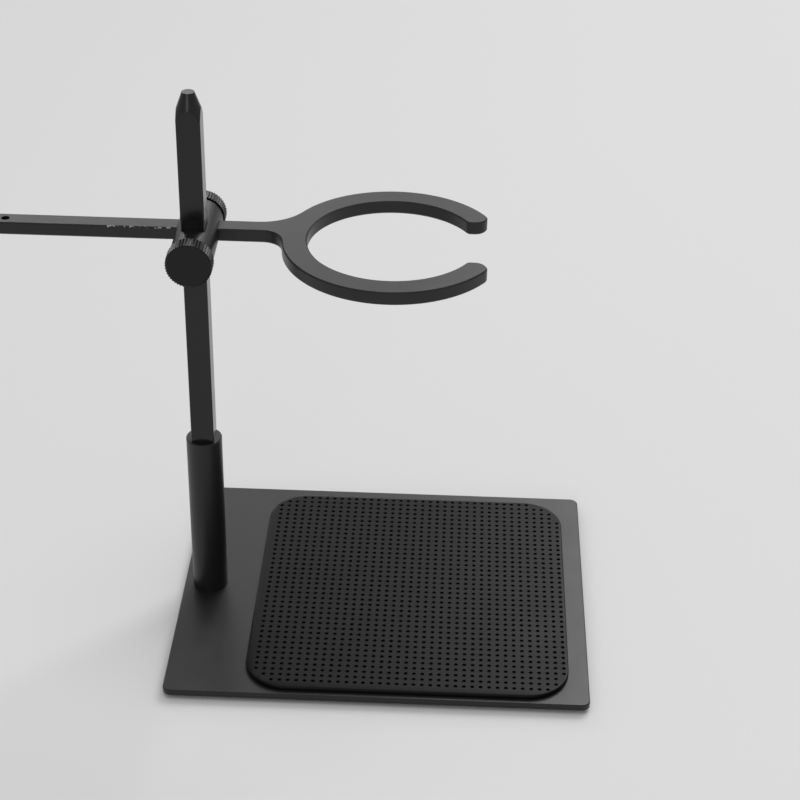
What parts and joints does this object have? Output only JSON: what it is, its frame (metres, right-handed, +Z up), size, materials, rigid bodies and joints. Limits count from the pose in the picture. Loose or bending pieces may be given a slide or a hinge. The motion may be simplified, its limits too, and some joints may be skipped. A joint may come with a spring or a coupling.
{
  "type": "pour over dripper stand",
  "caption": "Black flat-based stand with a square post, a sliding knob clamp and an arm that ends in an open ring for a coffee dripper; a dimpled mat lies under the ring.",
  "frame": {"origin": "on the table, in the middle of the whole stand's footprint at rest: midway between the arm's free end and the plate's right edge, and midway between the plate's front and back edges; the plate's centre is 36.75 mm towards +X", "axes": "+Z up along the post; +X from the post towards the ring's opening; -Y towards the user, on the side of the front knob"},
  "size_m": [0.2536, 0.151, 0.2425],
  "materials": {
    "black_coated_steel": "matt black powder coat",
    "black_silicone": "soft matt",
    "foot_rubber": "matt",
    "black_oxide_steel": "black oxide",
    "black_anodised_aluminium": "black anodised, satin"
  },
  "bodies": {
    "stand": {"base_plate": "black_coated_steel", "mat": "black_silicone", "foot_front_left": "foot_rubber", "foot_front_right": "foot_rubber", "foot_back_left": "foot_rubber", "foot_back_right": "foot_rubber", "post_socket": "black_coated_steel", "socket_screw": "black_oxide_steel", "post": "black_coated_steel", "post_grub_screw": "black_oxide_steel"},
    "clamp": {"clamp_barrel": "black_anodised_aluminium"},
    "front_screw": {"front_knob": "black_anodised_aluminium", "front_stud": "black_oxide_steel"},
    "rear_screw": {"rear_knob": "black_anodised_aluminium", "rear_stud": "black_oxide_steel"},
    "arm": {"ring_arm": "black_coated_steel"}
  },
  "joints": [
    {"name": "clamp_height", "type": "slide", "parent": "stand", "child": "clamp", "axis": [0, 0, 1], "range_m": [-0.084, 0.046]},
    {"name": "arm_reach", "type": "slide", "parent": "clamp", "child": "arm", "axis": [1, 0, 0], "range_m": [-0.014, 0.068]},
    {"name": "front_knob_turn", "type": "hinge", "parent": "clamp", "child": "front_screw", "pos_m": [-0.04175, -0.01365, 0.1766], "axis": [0, -1, 0], "range_deg": [0, 540]},
    {"name": "rear_knob_turn", "type": "hinge", "parent": "clamp", "child": "rear_screw", "pos_m": [-0.04175, 0.023, 0.1766], "axis": [0, 1, 0], "range_deg": [0, 540]}
  ]
}
